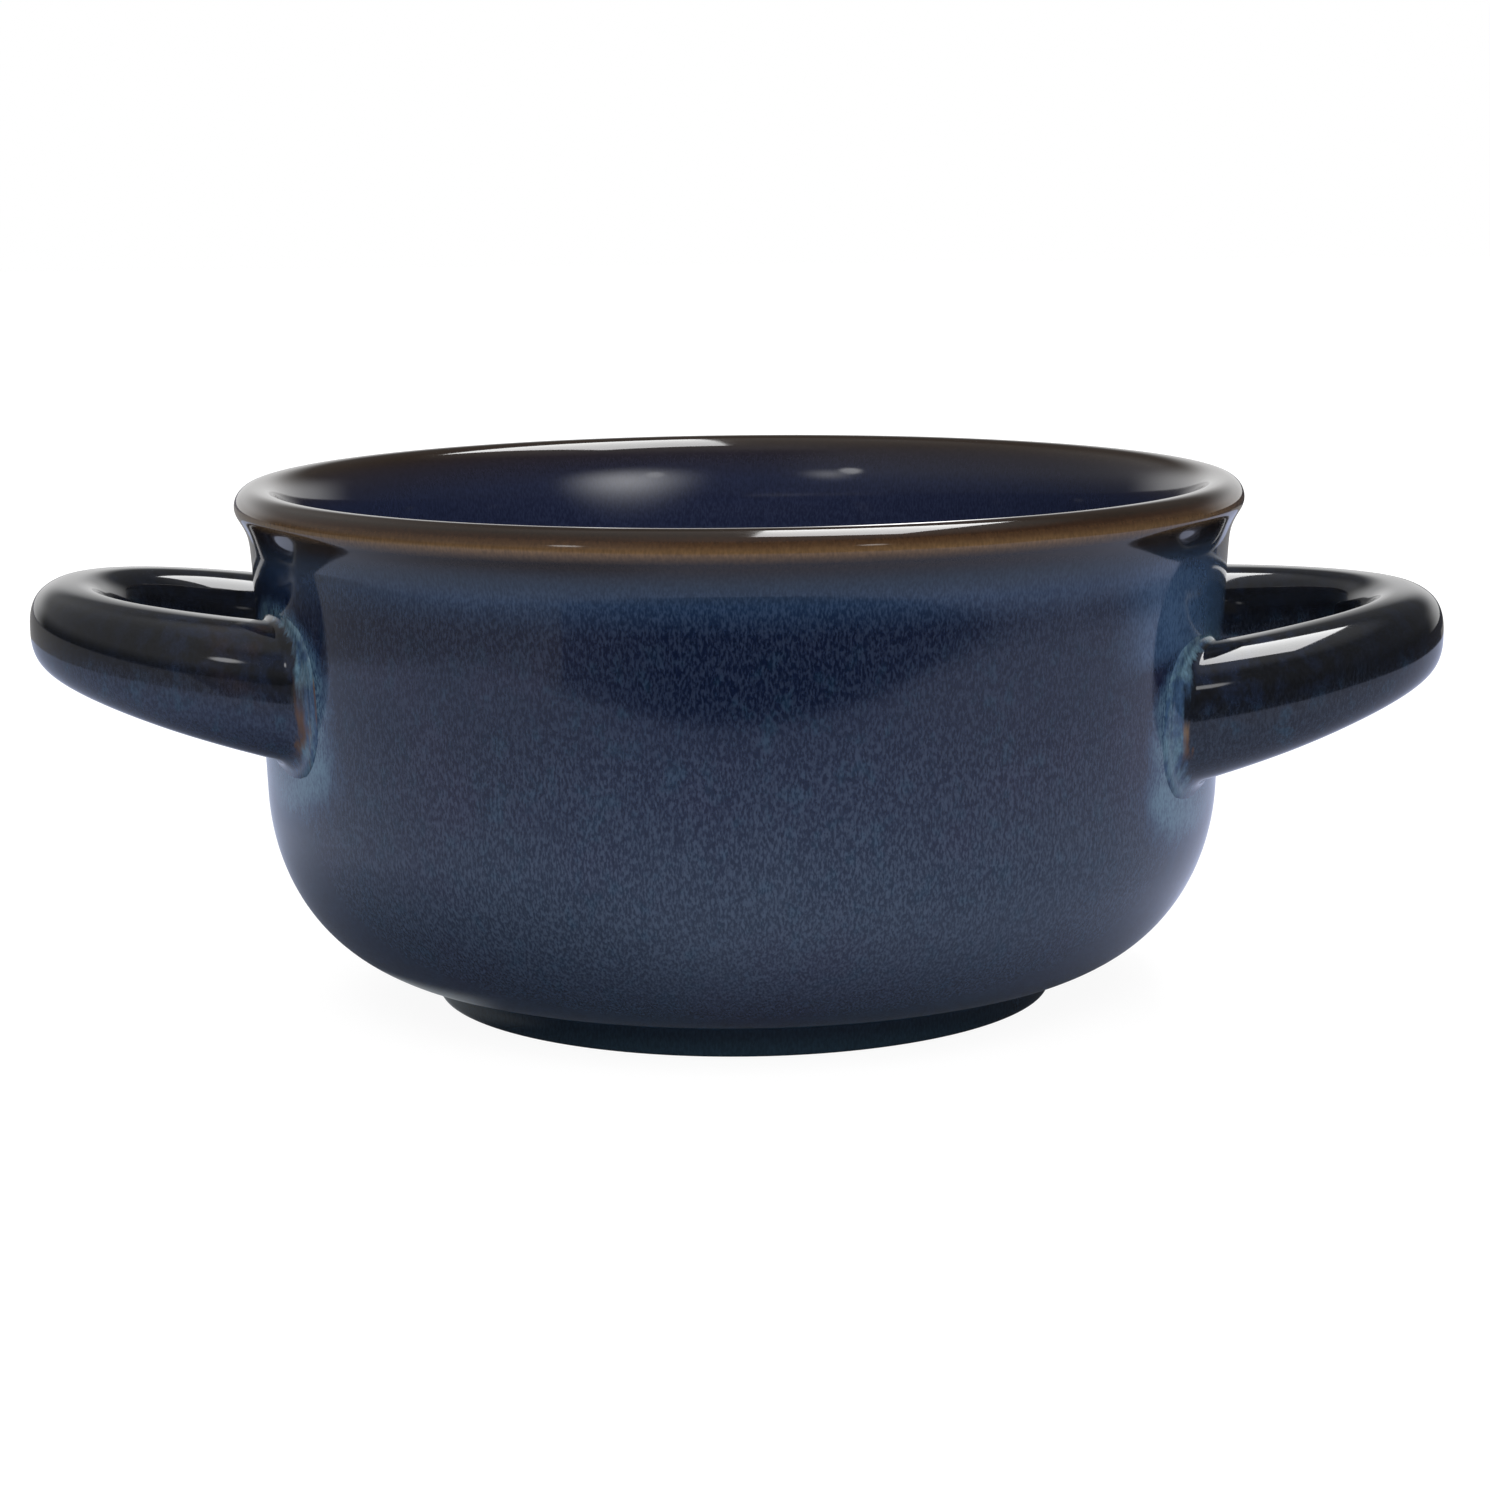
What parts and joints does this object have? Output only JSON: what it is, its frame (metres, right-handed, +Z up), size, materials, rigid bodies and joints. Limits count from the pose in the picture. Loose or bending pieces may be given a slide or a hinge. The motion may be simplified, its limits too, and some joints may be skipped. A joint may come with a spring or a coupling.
{
  "type": "soup crock",
  "caption": "French onion soup crock: deep stoneware bowl with a rolled lip, a bare foot ring and a loop handle on either side, under a brown-rimmed blue reactive glaze",
  "frame": {"origin": "centre of the foot ring, on the table", "axes": "+X towards the right handle, +Y towards the back, +Z up out of the bowl's mouth"},
  "size_m": [0.1971, 0.14, 0.0722],
  "materials": {
    "stoneware": "fired buff stoneware, bare and matt",
    "slip": "fired clay slip, matt",
    "wall_glaze": "glossy blue reactive glaze with fine vertical streaks",
    "lip_glaze": "glossy brown glaze that breaks to amber on the lip",
    "inside_glaze": "glossy dark navy glaze",
    "handle_glaze": "glossy near-black glaze with blue undersides"
  },
  "bodies": {
    "root": {"bowl": "stoneware", "left_handle": "stoneware", "right_handle": "stoneware", "left_front_slip": "slip", "left_back_slip": "slip", "right_front_slip": "slip", "right_back_slip": "slip", "outer_glaze": "wall_glaze", "rim_glaze": "lip_glaze", "liner_glaze": "inside_glaze", "base_glaze": "wall_glaze", "left_handle_glaze": "handle_glaze", "right_handle_glaze": "handle_glaze"}
  },
  "joints": []
}
